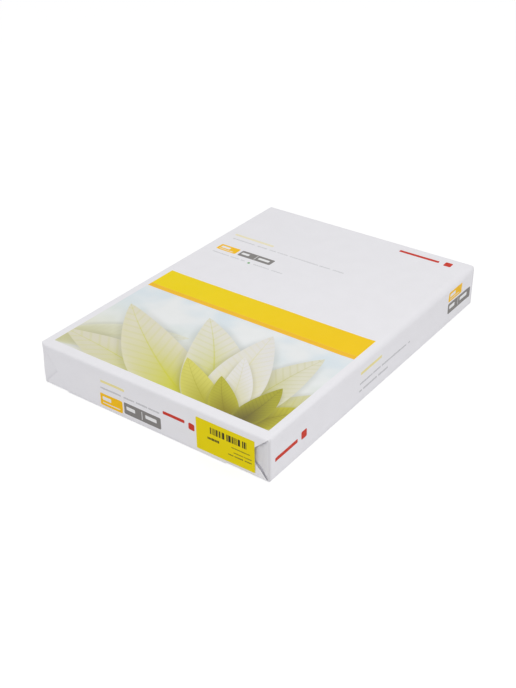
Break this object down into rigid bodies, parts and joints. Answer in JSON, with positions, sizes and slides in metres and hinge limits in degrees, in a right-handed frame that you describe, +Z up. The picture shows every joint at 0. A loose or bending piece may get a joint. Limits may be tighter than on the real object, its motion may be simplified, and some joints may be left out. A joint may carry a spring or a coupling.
{
  "type": "ream of paper",
  "caption": "Sealed rectangular pack of office paper in a folded printed wrapper, with envelope-folded ends and a yellow bar-code sticker that bridges the folds of one end.",
  "frame": {"origin": "middle of the base that the pack lies on", "axes": "+X across the folded end with the sticker, to the right as it is read; +Y along the pack, away from the sticker; +Z up, out of the printed top"},
  "size_m": [0.299, 0.4252, 0.0508],
  "materials": {
    "wrapper_paper": "satin",
    "label_paper": "satin"
  },
  "bodies": {
    "root": {"wrapped_ream": "wrapper_paper", "barcode_label": "label_paper"}
  },
  "joints": []
}
